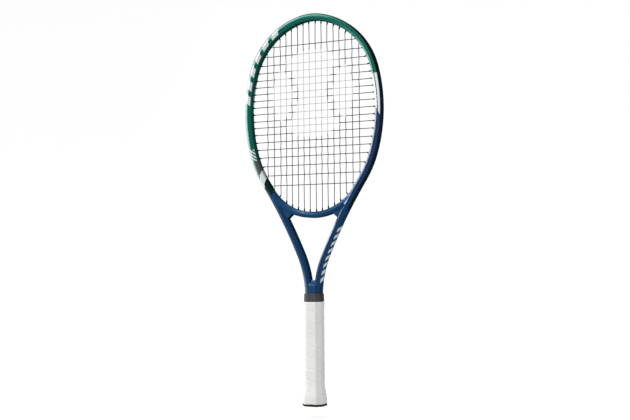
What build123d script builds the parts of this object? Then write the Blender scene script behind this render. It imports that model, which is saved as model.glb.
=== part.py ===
from build123d import *

import math
import os

os.makedirs("parts", exist_ok=True)

# A strung tennis racket. Millimetres. The origin is the centre of the butt end, +Z runs up the
# racket to the tip of the head, X lies across the string bed, and the front face looks along -Y.

# Overall
LENGTH = 685.8  # 27 inches, the standard adult length

# Moulded tube: its section has its width in the string plane and its depth across it
TUBE_WIDTH = 12.0
TUBE_DEPTH = 23.0
OUTER_EDGE_Y = 8.0  # half depth of the flat outer face
INNER_EDGE_X = -5.0  # where the front facet meets the inner face
INNER_EDGE_Y = 6.0
EDGE_RADIUS = 1.0
WALL = 1.8
CAVITY_OUTER_X = 2.0  # the cavity stops here, inside the grommet channel
WALL_AT_RIDGE = 1.4 * WALL  # the wall measured along each axis of the section, where it slopes
WALL_AT_INNER_X = 0.7 * WALL
WALL_AT_INNER_Y = 0.6 * WALL
GUARD_PROUD = 0.4  # the bumper guard stands this far outside the tube

# Centreline of the right half, from the tip of the head down to the shaft: radius and turn of
# each tangent arc. A negative radius bends outwards.
FRAME_ARCS = [
    ("tip", 85.0, 10.85),
    ("shoulder", 128.3, 64.3),
    ("side", 273.7, 31.2),
    ("lower_hoop", 177.0, 16.77),
    ("arm", -877.0, 9.57),
    ("root", -180.3, 23.55),
]
CENTRELINE_TOP = LENGTH - GUARD_PROUD - TUBE_WIDTH / 2

# Throat
BRIDGE_RADIUS = 98.0
BRIDGE_CENTRE_Z = 429.0
BRIDGE_WIDTH = 11.0
BRIDGE_DEPTH = 21.0
BRIDGE_HALF_ANGLE = 50.0
BRIDGE_STRIP_ANGLE = 35.0
GUSSET_DEPTH = 13.0
GUSSET_OUTLINE = [(39.5, 333.0), (49.0, 324.5), (68.0, 352.0), (58.0, 356.0)]
SADDLE_DEPTH = 22.4
SADDLE_CREST_Z = 219.0
SADDLE_EDGE_Z = 209.0

# Grommet channel round the outside of the head
CHANNEL_DEPTH = 2.4
CHANNEL_HALF = 3.3
GUARD_HALF = 6.5
CHANNEL_ARM_TURN = 3.6  # degrees of the arm arc that the channel reaches down
STRIP_THICK = 0.6
STRIP_GAP = 0.05
SIDE_GAP = 0.2
GROOVE_HALF = 2.3
GUARD_CHAMFER = 1.2
STRIP_END_ANGLE = 0.4

# Grommet barrels
BARREL_RADIUS = 1.5
BARREL_TIP_RADIUS = 1.15
BARREL_BORE = 0.85
BARREL_REACH = 4.5  # how far a barrel stands out of the inner face
HOLE_RADIUS = 1.6
BARREL_LEAN = 0.3  # 0 drills square to the tube, 1 drills along the string
BRIDGE_LEAN = 0.8
BARREL_ROOT = 1.3  # the barrel ends this far short of the string's line in the channel
HOLE_OVER = 3.0

# Strings
STRING_RADIUS = 0.65
MAIN_X = [6.1, 17.3, 28.7, 40.4, 51.7, 63.0, 75.9, 88.8]
CROSS_Z = [
    633.5, 616.7, 601.2, 587.9, 574.8, 562.5, 550.3, 538.3, 526.5, 514.0,
    501.1, 489.6, 476.8, 462.9, 449.7, 435.3, 419.5, 402.6, 384.4,
]
WEAVE = 0.82  # corner height of the woven route; the string itself rides a little lower
WEAVE_RADIUS = 10.0
TURN_RADIUS = 1.6
LOOP_OFFSET = 5.2  # centre of the string where it runs in the channel
BRIDGE_MAINS = 5  # mains on each side that end in the bridge
GUARD_CROSSES = 4  # crosses whose barrels belong to the bumper guard
CORNER_REACH = 1.0  # barrels are short where the outer mains and crosses meet
CORNER_MAIN = 6
CORNER_CROSSES = [0, 1, 17, 18]
CROSS_MARGIN = 1.0
LINK_SHARES = [0.3, 0.7]
LINK_SHIFT = 1.4  # sideways shift where a main's loop and a cross's loop share the channel
SHIFTED_CROSS_LINKS = [0, 17]
TAIL_LENGTH = 4.0
SHARP_TURN = math.radians(50)
RUN_SHARE = 0.45
WALK_STEPS = 40
WALK_SLOPE = 0.2
MIDDLE_Z = 514.0

# Handle
TAIL_WIDTH = 10.0
TAIL_DEPTH = 16.0
TAIL_CORNER = 3.5
TAIL_SHIFT = 1.0
TAIL_BOTTOM = 10.0
SHOULDER_Z = 179.6  # the full section ends here and the narrower tails begin
SHOULDER_THICK = 3.0
OCTAGON_X = 14.7  # bare pallet: half width, half depth, half length of the flats
OCTAGON_Y = 13.4
OCTAGON_FLAT_X = 8.2
OCTAGON_FLAT_Y = 6.1
PALLET_BOTTOM = 9.0
PALLET_TOP = 176.1
GRIP_THICK = 1.8
GRIP_BOTTOM = 3.6
GRIP_TOP = 179.2
TAPE_BOTTOM = 176.2
TAPE_TOP = 179.6
TAPE_THICK = 0.4
COLLAR_BOTTOM = 180.0
COLLAR_TOP = 193.7
COLLAR_GAP_X = 0.5
COLLAR_GAP_Y = 0.35
COLLAR_THICK_BOTTOM = 1.5
COLLAR_THICK_TOP = 0.9

# Butt cap
CAP_TOP = 36.0
CAP_FLARE_Z = 12.0
CAP_FLARE = 3.5  # how much wider than the pallet the flare is, on each side
CAP_RIM = 5.0
CAP_RIM_ROUND = 1.4
CAP_FLOOR = 3.0
CAP_SKIRT = 1.5
DOOR_X = 13.0
DOOR_Y = 10.0
DOOR_CORNER = 3.0
DOOR_GAP = 0.4
DOOR_BOTTOM = 0.4
FINGER_X = 9.6
FINGER_THICK = 1.6
FINGER_WIDTH = 8.0
FINGER_TOP = 7.4
STAPLE_Z = [20.0, 27.0]
STAPLE_WIDTH = 9.0
STAPLE_WIRE = 1.0
STAPLE_LEG = 5.5
STAPLE_SUNK = 0.75
TACK_Z = 9.0
TACK_SUNK = 0.6
TACK_HEAD_RADIUS = 2.2
TACK_HEAD_THICK = 0.6
TACK_PIN_RADIUS = 0.6
TACK_PIN_LENGTH = 4.0


def polar(angle):
    """Unit vector at an angle from straight up, turning towards +X."""
    return math.sin(math.radians(angle)), math.cos(math.radians(angle))


def centreline():
    """The arcs of the right half as name, centre, signed radius, first and last heading."""
    arcs = []
    x, z, heading = 0.0, CENTRELINE_TOP, 0.0
    for name, radius, turn in FRAME_ARCS:
        side, up = polar(heading)
        centre_x = x - radius * side
        centre_z = z - radius * up
        last = heading + math.copysign(turn, radius)
        arcs.append((name, centre_x, centre_z, radius, heading, last))
        side, up = polar(last)
        x = centre_x + radius * side
        z = centre_z + radius * up
        heading = last
    return arcs, x, z


ARCS, LEG_X, LEG_TOP = centreline()


def frame_point(arc, heading, offset):
    """Point beside the centreline: offset is positive outwards."""
    side, up = polar(heading)
    return arc[1] + (arc[3] + offset) * side, arc[2] + (arc[3] + offset) * up


def locate(x, z):
    """Offset from the centreline and heading of a point on the right half, near the head."""
    best = None
    for arc in ARCS[:5]:
        sign = math.copysign(1.0, arc[3])
        heading = math.degrees(math.atan2(sign * (x - arc[1]), sign * (z - arc[2])))
        low, high = sorted(arc[4:6])
        clamped = min(max(heading, low), high)
        foot_x, foot_z = frame_point(arc, clamped, 0.0)
        distance = math.hypot(x - foot_x, z - foot_z)
        if best is None or distance < best[0]:
            side, up = polar(clamped)
            offset = (x - foot_x) * side + (z - foot_z) * up
            best = (distance, offset, clamped)
    return best[1], best[2]


def arc_edge(centre_x, centre_z, radius, first, last):
    """Edge of one arc of the centreline, walked from its first heading to its last."""
    start = 90.0 - first if radius > 0 else 270.0 - first
    size = first - last
    return Plane.XZ * CenterArc((centre_x, centre_z), abs(radius), start, size)


def half_path(names, arm_turn=None):
    """Edges of the right half for the named arcs, top to bottom."""
    edges = []
    for name, centre_x, centre_z, radius, first, last in ARCS:
        if name not in names:
            continue
        if name == "arm" and arm_turn is not None:
            last = first - arm_turn
        edges.append(arc_edge(centre_x, centre_z, radius, first, last))
    return edges


def full_path(edges):
    """The right half joined to its mirror image."""
    left = [edge.mirror(Plane.YZ) for edge in edges]
    return Wire(left + edges)


def run_section(points, path, outward, radius=0.0):
    """A polygon section run along a path in the XZ plane: its first axis points outward."""
    outline = make_face(Polyline(*points, close=True))
    if radius:
        outline = fillet(outline.vertices(), radius)
    plane = Plane(origin=path @ 0, x_dir=outward, z_dir=path % 0)
    return sweep(plane * outline, path=path)


def outward_at(path, centre_z=None):
    """Direction square to a path in the XZ plane at its start, away from a centre on the axis."""
    tangent = path % 0
    outward = Vector(-tangent.Z, 0, tangent.X)
    away = path @ 0 - Vector(0, 0, MIDDLE_Z if centre_z is None else centre_z)
    return outward if outward.dot(away) > 0 else -outward


def rectangle(low, high, half):
    """Corners of a section rectangle from low to high outwards, half deep each way."""
    return [(low, -half), (high, -half), (high, half), (low, half)]


def tube_section(width, depth):
    """Outer section: a ridge front and back, a flat outer face and a rounded inner one."""
    out = width / 2
    edge_y = OUTER_EDGE_Y * depth / TUBE_DEPTH
    inner_x = INNER_EDGE_X * width / TUBE_WIDTH
    inner_y = INNER_EDGE_Y * depth / TUBE_DEPTH
    return [
        (0, depth / 2), (out, edge_y), (out, -edge_y), (0, -depth / 2),
        (inner_x, -inner_y), (-out, 0), (inner_x, inner_y),
    ]


def cavity_section(width, depth):
    """Inner section of the hollow tube, kept clear of the grommet channel."""
    inner_x = INNER_EDGE_X * width / TUBE_WIDTH + WALL_AT_INNER_X
    inner_y = INNER_EDGE_Y * depth / TUBE_DEPTH - WALL_AT_INNER_Y
    top = depth / 2 - WALL_AT_RIDGE
    side_y = OUTER_EDGE_Y * depth / TUBE_DEPTH
    return [
        (0, top), (CAVITY_OUTER_X, side_y), (CAVITY_OUTER_X, -side_y), (0, -top),
        (inner_x, -inner_y), (WALL - width / 2, 0), (inner_x, inner_y),
    ]


HEAD_ARCS = ["tip", "shoulder"]
SIDE_ARCS = ["side", "lower_hoop", "arm"]
ALL_ARCS = HEAD_ARCS + SIDE_ARCS + ["root"]


def tube_path(bottom):
    """Centreline of the whole hairpin, with both legs down to a height."""
    edges = half_path(ALL_ARCS)
    leg = Line((LEG_X, 0, LEG_TOP), (LEG_X, 0, bottom))
    return full_path(edges + [leg])


def head_path():
    """Centreline round the tip of the head, under the bumper guard."""
    return full_path(half_path(HEAD_ARCS))


def side_path():
    """Centreline of the right side under its grommet channel."""
    return Wire(half_path(SIDE_ARCS, CHANNEL_ARM_TURN))


def bridge_path(half_angle):
    """Centreline of the throat bridge, this far each way from its lowest point."""
    arc = CenterArc((0, BRIDGE_CENTRE_Z), BRIDGE_RADIUS, -90 - half_angle, 2 * half_angle)
    return Wire([Plane.XZ * arc])


# String layout: points and directions below are (x, z) pairs on the right half


def drill(tip, direction, target):
    """Walk from tip along a line that leans to the string's direction, out to an offset."""
    _, heading = locate(*tip)
    side, up = polar(heading)
    drill_x = (1 - BARREL_LEAN) * side + BARREL_LEAN * direction[0]
    drill_z = (1 - BARREL_LEAN) * up + BARREL_LEAN * direction[1]
    length = math.hypot(drill_x, drill_z)
    return walk(tip, (drill_x / length, drill_z / length), target)


def walk(point, direction, target):
    """Move a point along a direction until its offset from the centreline is the target."""
    x, z = point
    for _ in range(WALK_STEPS):
        offset, heading = locate(x, z)
        side, up = polar(heading)
        slope = direction[0] * side + direction[1] * up
        step = (target - offset) / max(slope, WALK_SLOPE)
        x += direction[0] * step
        z += direction[1] * step
    return x, z


def hoop_end(point, direction, reach):
    """Barrel tip and loop point of a string that runs from a point inside the head to the hoop."""
    tip = walk(point, direction, -TUBE_WIDTH / 2 - reach)
    return tip, drill(tip, direction, LOOP_OFFSET)


def bridge_end(x):
    """Barrel tip and loop point of a main string that ends in the bridge."""
    tip_radius = BRIDGE_RADIUS - BRIDGE_WIDTH / 2 - BARREL_REACH
    tip_z = BRIDGE_CENTRE_Z - math.sqrt(tip_radius**2 - x**2)
    side = x / tip_radius * (1 - BRIDGE_LEAN)
    down = math.sqrt(1 - side**2)
    loop_radius = BRIDGE_RADIUS + LOOP_OFFSET - (TUBE_WIDTH - BRIDGE_WIDTH) / 2
    length = 0.0
    for _ in range(WALK_STEPS):
        radius = math.hypot(x + side * length, BRIDGE_CENTRE_Z - tip_z + down * length)
        length += loop_radius - radius
    return (x, tip_z), (x + side * length, tip_z - down * length)


def main_ends(number):
    """Top and bottom ends of a main string, numbered from the middle."""
    x = MAIN_X[number]
    reach = CORNER_REACH if number >= CORNER_MAIN else BARREL_REACH
    top = hoop_end((x, MIDDLE_Z), (0, 1), reach)
    if number < BRIDGE_MAINS:
        return top, bridge_end(x)
    if number == BRIDGE_MAINS:
        tip, _ = bridge_end(x)
        return top, (tip, drill(tip, (0, -1), LOOP_OFFSET))
    return top, hoop_end((x, MIDDLE_Z), (0, -1), reach)


def cross_end(number):
    """Right end of a cross string, numbered from the top."""
    reach = CORNER_REACH if number in CORNER_CROSSES else BARREL_REACH
    return hoop_end((0, CROSS_Z[number]), (1, 0), reach)


MAIN_ENDS = [main_ends(number) for number in range(len(MAIN_X))]
CROSS_ENDS = [cross_end(number) for number in range(len(CROSS_Z))]


def signed_mains():
    """Every main string from left to right as its number and side."""
    numbers = range(len(MAIN_X))
    return [(number, -1) for number in reversed(numbers)] + [(number, 1) for number in numbers]


def meets(main, cross):
    """Whether a main string and a cross string cross inside the head."""
    (_, top), (_, bottom) = MAIN_ENDS[main][0][0], MAIN_ENDS[main][1][0]
    inside = bottom + CROSS_MARGIN < CROSS_Z[cross] < top - CROSS_MARGIN
    return inside and MAIN_X[main] < CROSS_ENDS[cross][0][0] - CROSS_MARGIN


def weave_side(order, cross):
    """Side of the bed that a main string takes at a crossing: order counts from the left."""
    return 1 if (order + cross) % 2 else -1


def link_points(start, end, shift):
    """Points between two loop points, along the channel and shifted to one side of it."""
    points = []
    for share in LINK_SHARES:
        x = start[0] + (end[0] - start[0]) * share
        z = start[1] + (end[1] - start[1]) * share
        if shift:
            side = 1 if x > 0 else -1
            offset, heading = locate(abs(x), z)
            out, up = polar(heading)
            grow = LOOP_OFFSET - offset
            points.append((x + side * out * grow, shift, z + up * grow))
    return points


def tail_point(loop, upwards):
    """End of a cut string: a short run along the channel from a loop point."""
    _, heading = locate(abs(loop[0]), loop[1])
    out, up = polar(heading)
    sign = 1 if upwards else -1
    side = 1 if loop[0] > 0 else -1
    return loop[0] - side * sign * up * TAIL_LENGTH, 0, loop[1] + sign * out * TAIL_LENGTH


def main_route():
    """Route of the main string, up and down from the left side to the right."""
    mains = signed_mains()
    points = []
    for order, (number, side) in enumerate(mains):
        x = side * MAIN_X[number]
        top, bottom = MAIN_ENDS[number]
        span = [(x, weave_side(order, cross) * WEAVE, z)
                for cross, z in enumerate(CROSS_Z) if meets(number, cross)]
        run = [(side * top[1][0], 0, top[1][1]), (x, 0, top[0][1])]
        run += span
        run += [(x, 0, bottom[0][1]), (side * bottom[1][0], 0, bottom[1][1])]
        if order % 2 == 0:
            run.reverse()
        points += run
        if order + 1 < len(mains):
            outermost = {number, mains[order + 1][0]} == {len(MAIN_X) - 1, len(MAIN_X) - 2}
            shift = -LINK_SHIFT if outermost else 0
            following, next_side = mains[order + 1]
            end = MAIN_ENDS[following][order % 2][1]
            points += link_points((run[-1][0], run[-1][2]), (next_side * end[0], end[1]), shift)
    first = tail_point((points[0][0], points[0][2]), False)
    last = tail_point((points[-1][0], points[-1][2]), False)
    return [first] + points + [last]


def cross_route():
    """Route of the cross string, side to side from the top to the bottom."""
    mains = signed_mains()
    points = []
    for number, z in enumerate(CROSS_Z):
        (tip_x, _), (loop_x, loop_z) = CROSS_ENDS[number]
        run = [(-loop_x, 0, loop_z), (-tip_x, 0, z)]
        for order, (main, side) in enumerate(mains):
            if meets(main, number):
                run.append((side * MAIN_X[main], -weave_side(order, number) * WEAVE, z))
        run += [(tip_x, 0, z), (loop_x, 0, loop_z)]
        if number % 2:
            run.reverse()
        points += run
        if number + 1 < len(CROSS_Z):
            side = 1 if run[-1][0] > 0 else -1
            end_x, end_z = CROSS_ENDS[number + 1][1]
            shift = LINK_SHIFT if number in SHIFTED_CROSS_LINKS else 0
            points += link_points((run[-1][0], run[-1][2]), (side * end_x, end_z), shift)
    first = tail_point((points[0][0], points[0][2]), True)
    last = tail_point((points[-1][0], points[-1][2]), True)
    return [first] + points + [last]


def corner_radius(before, corner, after):
    """Bend radius at a corner: as large as its runs allow, up to that kind of bend's limit."""
    run_in = Vector(corner) - Vector(before)
    run_out = Vector(after) - Vector(corner)
    turn = math.radians(run_in.get_angle(run_out))
    limit = TURN_RADIUS if turn > SHARP_TURN else WEAVE_RADIUS
    return min(limit, RUN_SHARE * min(run_in.length, run_out.length) / math.tan(turn / 2))


def string_solid(points):
    """A string of round section along a route."""
    radii = [corner_radius(*points[i - 1:i + 2]) for i in range(1, len(points) - 1)]
    path = FilletPolyline(*points, radius=radii)
    section = Plane(origin=path @ 0, z_dir=path % 0) * Circle(STRING_RADIUS)
    string = sweep(section, path=path)
    print("string length", round(path.length), "smallest bend", round(min(radii), 2))
    return string


# Barrels and the holes for them


def right_barrels():
    """Barrels of the right side: the strip that each belongs to, its tip and its loop point."""
    barrels = []
    for number, (top, bottom) in enumerate(MAIN_ENDS):
        barrels.append(("bumper_guard", top))
        barrels.append(("throat_strip" if number < BRIDGE_MAINS else "side_strip", bottom))
    for number, end in enumerate(CROSS_ENDS):
        barrels.append(("bumper_guard" if number < GUARD_CROSSES else "side_strip", end))
    return barrels


def barrel_frame(end):
    """Plane at a barrel's tip, with z along the barrel outwards, and the length to the loop."""
    (tip_x, tip_z), (loop_x, loop_z) = end
    axis = Vector(loop_x - tip_x, 0, loop_z - tip_z)
    return Plane(origin=(tip_x, 0, tip_z), x_dir=(0, 1, 0), z_dir=axis), axis.length


def both_sides(shape):
    """A shape of the right side with its mirror image."""
    return [shape, shape.mirror(Plane.YZ)]


def bores(owner=None, radius=HOLE_RADIUS):
    """Round bars along the barrels of one strip, or of them all, on both sides."""
    bars = []
    for strip, end in right_barrels():
        if owner in (None, strip):
            plane, length = barrel_frame(end)
            bar = plane * Pos(0, 0, -HOLE_OVER) * extrude(Circle(radius), length + 2 * HOLE_OVER)
            bars += both_sides(bar)
    return bars


def barrels(owner):
    """The barrels of one strip, both sides: straight in the wall, tapered where they show."""
    pieces = []
    for strip, end in right_barrels():
        if strip == owner:
            plane, length = barrel_frame(end)
            root = length - BARREL_ROOT
            profile = Plane.XZ * make_face(Polyline(
                (0, 0), (BARREL_TIP_RADIUS, 0), (BARREL_RADIUS, BARREL_REACH),
                (BARREL_RADIUS, root), (0, root), close=True))
            pieces += both_sides(plane * revolve(profile, Axis.Z))
    return pieces


# Moulded frame


def saddle():
    """Web that joins the two legs above the handle, with a roof-shaped top."""
    half = SADDLE_DEPTH / 2
    side = Plane.YZ * make_face(Polyline(
        (-half, SHOULDER_Z), (half, SHOULDER_Z), (half, SADDLE_EDGE_Z),
        (0, SADDLE_CREST_Z), (-half, SADDLE_EDGE_Z), close=True))
    return extrude(side, LEG_X, both=True)


def channels():
    """The recess for the bumper guard and the two narrower ones for the side strips."""
    floor = TUBE_WIDTH / 2 - CHANNEL_DEPTH
    head = head_path()
    recess = run_section(rectangle(floor, TUBE_WIDTH, GUARD_HALF), head, outward_at(head))
    side = side_path()
    narrow = run_section(rectangle(floor, TUBE_WIDTH, CHANNEL_HALF), side, outward_at(side))
    return [recess] + both_sides(narrow)


def tail(width, depth, bottom, top):
    """An upright bar with rounded corners on the right leg's handle tail."""
    sketch = Pos(LEG_X - TAIL_SHIFT, 0, bottom) * RectangleRounded(width, depth, TAIL_CORNER)
    return extrude(sketch, top - bottom)


def tails():
    """Outer shape of the two narrow legs inside the handle."""
    return both_sides(tail(TAIL_WIDTH, TAIL_DEPTH, TAIL_BOTTOM, SHOULDER_Z))


def tube_envelope():
    """Outer shape of the hairpin down to its shoulder, with nothing cut from it."""
    path = tube_path(SHOULDER_Z)
    return run_section(tube_section(TUBE_WIDTH, TUBE_DEPTH), path, outward_at(path), EDGE_RADIUS)


def frame_tube(envelope):
    """Hollow hairpin tube with its saddle, channels, string holes and handle tails."""
    path = tube_path(SHOULDER_Z + SHOULDER_THICK)
    cavity = run_section(cavity_section(TUBE_WIDTH, TUBE_DEPTH), path, outward_at(path))
    wide = TAIL_WIDTH - 2 * WALL
    deep = TAIL_DEPTH - 2 * WALL
    sketch = Pos(LEG_X - TAIL_SHIFT, 0, TAIL_BOTTOM) * RectangleRounded(wide, deep, TAIL_CORNER - WALL)
    bore = extrude(sketch, SHOULDER_Z - TAIL_BOTTOM)
    frame = (envelope - cavity) + (saddle() - envelope) + tails()
    return frame - both_sides(bore) - channels() - bores()


def throat_bridge(envelope):
    """Hollow bridge between the arms, with two thin gusset plates in each corner under it."""
    path = bridge_path(BRIDGE_HALF_ANGLE)
    out = outward_at(path, BRIDGE_CENTRE_Z)
    bar = run_section(tube_section(BRIDGE_WIDTH, BRIDGE_DEPTH), path, out, EDGE_RADIUS)
    cavity = run_section(cavity_section(BRIDGE_WIDTH, BRIDGE_DEPTH), path, out)
    corner = Plane.XZ * make_face(Polyline(*GUSSET_OUTLINE, close=True))
    plates = extrude(corner, GUSSET_DEPTH / 2, both=True) - extrude(corner, CHANNEL_HALF, both=True) - bar
    strip_path = bridge_path(BRIDGE_STRIP_ANGLE)
    outline = rectangle(BRIDGE_WIDTH / 2 - CHANNEL_DEPTH, TUBE_WIDTH, CHANNEL_HALF)
    channel = run_section(outline, strip_path, outward_at(strip_path, BRIDGE_CENTRE_Z))
    bridge = ((bar - cavity) + both_sides(plates)) - envelope - channel - bores()
    return bridge.solids().sort_by(SortBy.VOLUME)[-1]


# Grommet strips


def bumper_guard():
    """Guard round the tip of the head, with a groove for the string loops and its barrels."""
    path = head_path()
    low = TUBE_WIDTH / 2 - CHANNEL_DEPTH + STRIP_GAP
    high = TUBE_WIDTH / 2 + GUARD_PROUD
    half = GUARD_HALF - SIDE_GAP
    outline = [
        (low, -half), (high - GUARD_CHAMFER, -half), (high, GUARD_CHAMFER - half),
        (high, half - GUARD_CHAMFER), (high - GUARD_CHAMFER, half), (low, half),
    ]
    guard = run_section(outline, path, outward_at(path))
    groove = run_section(rectangle(low + STRIP_THICK, TUBE_WIDTH, GROOVE_HALF), path, outward_at(path))
    return guard - groove + barrels("bumper_guard") - bores("bumper_guard", BARREL_BORE)


def side_strip():
    """Grommet strip down the right side of the head, with its barrels."""
    path = side_path()
    low = TUBE_WIDTH / 2 - CHANNEL_DEPTH + STRIP_GAP
    outline = rectangle(low, low + STRIP_THICK, CHANNEL_HALF - SIDE_GAP)
    strip = run_section(outline, path, outward_at(path))
    right = [piece for piece in barrels("side_strip") if piece.center().X > 0]
    holes = [bar for bar in bores("side_strip", BARREL_BORE) if bar.center().X > 0]
    return strip + right - holes


def throat_strip():
    """Grommet strip under the bridge, with its barrels."""
    path = bridge_path(BRIDGE_STRIP_ANGLE - STRIP_END_ANGLE)
    low = BRIDGE_WIDTH / 2 - CHANNEL_DEPTH + STRIP_GAP
    outline = rectangle(low, low + STRIP_THICK, CHANNEL_HALF - SIDE_GAP)
    strip = run_section(outline, path, outward_at(path, BRIDGE_CENTRE_Z))
    return strip + barrels("throat_strip") - bores("throat_strip", BARREL_BORE)


# Handle


def octagon(grow=0.0):
    """The handle's octagon, grown by the same amount on each side."""
    x = OCTAGON_X + grow
    y = OCTAGON_Y + grow
    flat_x = OCTAGON_FLAT_X * x / OCTAGON_X
    flat_y = OCTAGON_FLAT_Y * y / OCTAGON_Y
    corners = [(x, flat_y), (flat_x, y), (-flat_x, y), (-x, flat_y),
               (-x, -flat_y), (-flat_x, -y), (flat_x, -y), (x, -flat_y)]
    return make_face(Polyline(*corners, close=True))


def octagon_stack(levels):
    """Straight-sided stack through octagons at (height, growth) levels."""
    stack = None
    for (low, grow_low), (high, grow_high) in zip(levels, levels[1:]):
        ends = [Pos(0, 0, low) * octagon(grow_low), Pos(0, 0, high) * octagon(grow_high)]
        slab = loft(ends, ruled=True)
        stack = slab if stack is None else stack + slab
    return stack


def cap_growth(z):
    """How much wider than the pallet the butt cap's flare is at a height."""
    return CAP_FLARE * min(1.0, (CAP_TOP - z) / (CAP_TOP - CAP_FLARE_Z))


def cap_flare():
    """Outer shape of the butt cap above its rim, which the grip is wrapped over."""
    return octagon_stack([(GRIP_BOTTOM, CAP_FLARE), (CAP_FLARE_Z, CAP_FLARE), (CAP_TOP, 0)])


def staples():
    """Wire staples that hold the butt cap to the pallets, two on each wide face."""
    wires = []
    for z in STAPLE_Z:
        depth = OCTAGON_Y + cap_growth(z) - STAPLE_SUNK
        for face in (-1, 1):
            crown = Pos(0, face * depth, z) * Box(STAPLE_WIDTH + STAPLE_WIRE, STAPLE_WIRE, STAPLE_WIRE)
            middle = face * (depth - STAPLE_LEG / 2)
            leg = Box(STAPLE_WIRE, STAPLE_LEG, STAPLE_WIRE)
            legs = [Pos(side * STAPLE_WIDTH / 2, middle, z) * leg for side in (-1, 1)]
            wires.append(crown + legs)
    return wires


def grip_tack():
    """Small tack that starts the grip on the side of the butt cap."""
    head = Cylinder(TACK_HEAD_RADIUS, TACK_HEAD_THICK)
    pin = Pos(0, 0, -(TACK_HEAD_THICK + TACK_PIN_LENGTH) / 2) * Cylinder(TACK_PIN_RADIUS, TACK_PIN_LENGTH)
    return Pos(OCTAGON_X + CAP_FLARE - TACK_SUNK, 0, TACK_Z) * Rot(0, 90, 0) * (head + pin)


def handle_pallets():
    """The two foam halves round the tails: front and back."""
    upper = extrude(Pos(0, 0, CAP_TOP) * octagon(), PALLET_TOP - CAP_TOP)
    lower = extrude(Pos(0, 0, PALLET_BOTTOM) * octagon(-CAP_SKIRT), CAP_TOP - PALLET_BOTTOM)
    body = upper + lower - tails() - staples()
    back = split(body, bisect_by=Plane.XZ, keep=Keep.BOTTOM)
    front = split(body, bisect_by=Plane.XZ, keep=Keep.TOP)
    return front, back


def butt_cap():
    """Butt cap: floor, rounded rim and a flared skirt round the pallets."""
    rim = extrude(octagon(CAP_RIM), GRIP_BOTTOM)
    rim = fillet(rim.faces().sort_by(Axis.Z)[0].edges(), CAP_RIM_ROUND)
    inside = extrude(Pos(0, 0, CAP_FLOOR) * octagon(-CAP_SKIRT), CAP_TOP - CAP_FLOOR)
    opening = extrude(RectangleRounded(2 * DOOR_X, 2 * DOOR_Y, DOOR_CORNER), CAP_FLOOR)
    return rim + cap_flare() - inside - opening - staples() - grip_tack()


def butt_cap_door():
    """Snap-in door in the butt cap's floor, with two spring fingers and a pry slot."""
    wide = 2 * (DOOR_X - DOOR_GAP)
    deep = 2 * (DOOR_Y - DOOR_GAP)
    sketch = Pos(0, 0, DOOR_BOTTOM) * RectangleRounded(wide, deep, DOOR_CORNER - DOOR_GAP)
    plate = extrude(sketch, CAP_FLOOR - DOOR_BOTTOM)
    tall = FINGER_TOP - CAP_FLOOR
    finger = Pos(FINGER_X, 0, CAP_FLOOR + tall / 2) * Box(FINGER_THICK, FINGER_WIDTH, tall)
    slot = Pos(0, -DOOR_Y, DOOR_BOTTOM) * Box(FINGER_WIDTH, 2 * FINGER_THICK, FINGER_THICK)
    return plate + both_sides(finger) - slot


def base_grip():
    """Wrapped grip as a plain octagonal sleeve over the pallets and the cap's flare."""
    levels = [(GRIP_BOTTOM, CAP_FLARE), (CAP_FLARE_Z, CAP_FLARE), (CAP_TOP, 0), (GRIP_TOP, 0)]
    outer = octagon_stack([(z, grow + GRIP_THICK) for z, grow in levels])
    return outer - octagon_stack(levels)


def finishing_tape():
    """Band of tape round the top end of the grip."""
    band = extrude(Pos(0, 0, TAPE_BOTTOM) * octagon(GRIP_THICK + TAPE_THICK), TAPE_TOP - TAPE_BOTTOM)
    return band - extrude(Pos(0, 0, TAPE_BOTTOM) * octagon(GRIP_THICK), TAPE_TOP - TAPE_BOTTOM)


def collar_bore():
    """Outline round both legs that the collar slides on, with its clearance."""
    x = LEG_X + TUBE_WIDTH / 2 + COLLAR_GAP_X
    y = TUBE_DEPTH / 2 + COLLAR_GAP_Y
    flat_y = OUTER_EDGE_Y + COLLAR_GAP_Y
    corners = [(x, flat_y), (LEG_X, y), (-LEG_X, y), (-x, flat_y),
               (-x, -flat_y), (-LEG_X, -y), (LEG_X, -y), (x, -flat_y)]
    return make_face(Polyline(*corners, close=True))


def grip_collar():
    """Rubber collar round the shaft, wider at its lower edge."""
    bore = collar_bore()
    height = COLLAR_TOP - COLLAR_BOTTOM
    low = offset(bore, COLLAR_THICK_BOTTOM, kind=Kind.INTERSECTION)
    high = offset(bore, COLLAR_THICK_TOP, kind=Kind.INTERSECTION)
    body = loft([Pos(0, 0, COLLAR_BOTTOM) * low, Pos(0, 0, COLLAR_TOP) * high], ruled=True)
    return body - extrude(Pos(0, 0, COLLAR_BOTTOM) * bore, height)


def main():
    """Build every node and write one STEP file for each."""
    envelope = tube_envelope()
    strip = side_strip()
    front, back = handle_pallets()
    nodes = {
        "frame_tube": frame_tube(envelope),
        "throat_bridge": throat_bridge(envelope),
        "bumper_guard": bumper_guard(),
        "right_grommet_strip": strip,
        "left_grommet_strip": strip.mirror(Plane.YZ),
        "throat_grommet_strip": throat_strip(),
        "front_handle_pallet": front,
        "back_handle_pallet": back,
        "butt_cap": butt_cap(),
        "butt_cap_door": butt_cap_door(),
        "butt_cap_staples": Compound(children=staples()),
        "grip_tack": grip_tack(),
        "base_grip": base_grip(),
        "finishing_tape": finishing_tape(),
        "grip_collar": grip_collar(),
        "main_string": string_solid(main_route()),
        "cross_string": string_solid(cross_route()),
    }
    for name, shape in nodes.items():
        export_step(shape, f"parts/{name}.step")


main()
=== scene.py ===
import math

import bmesh
import bpy
from mathutils import Matrix, Vector


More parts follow.
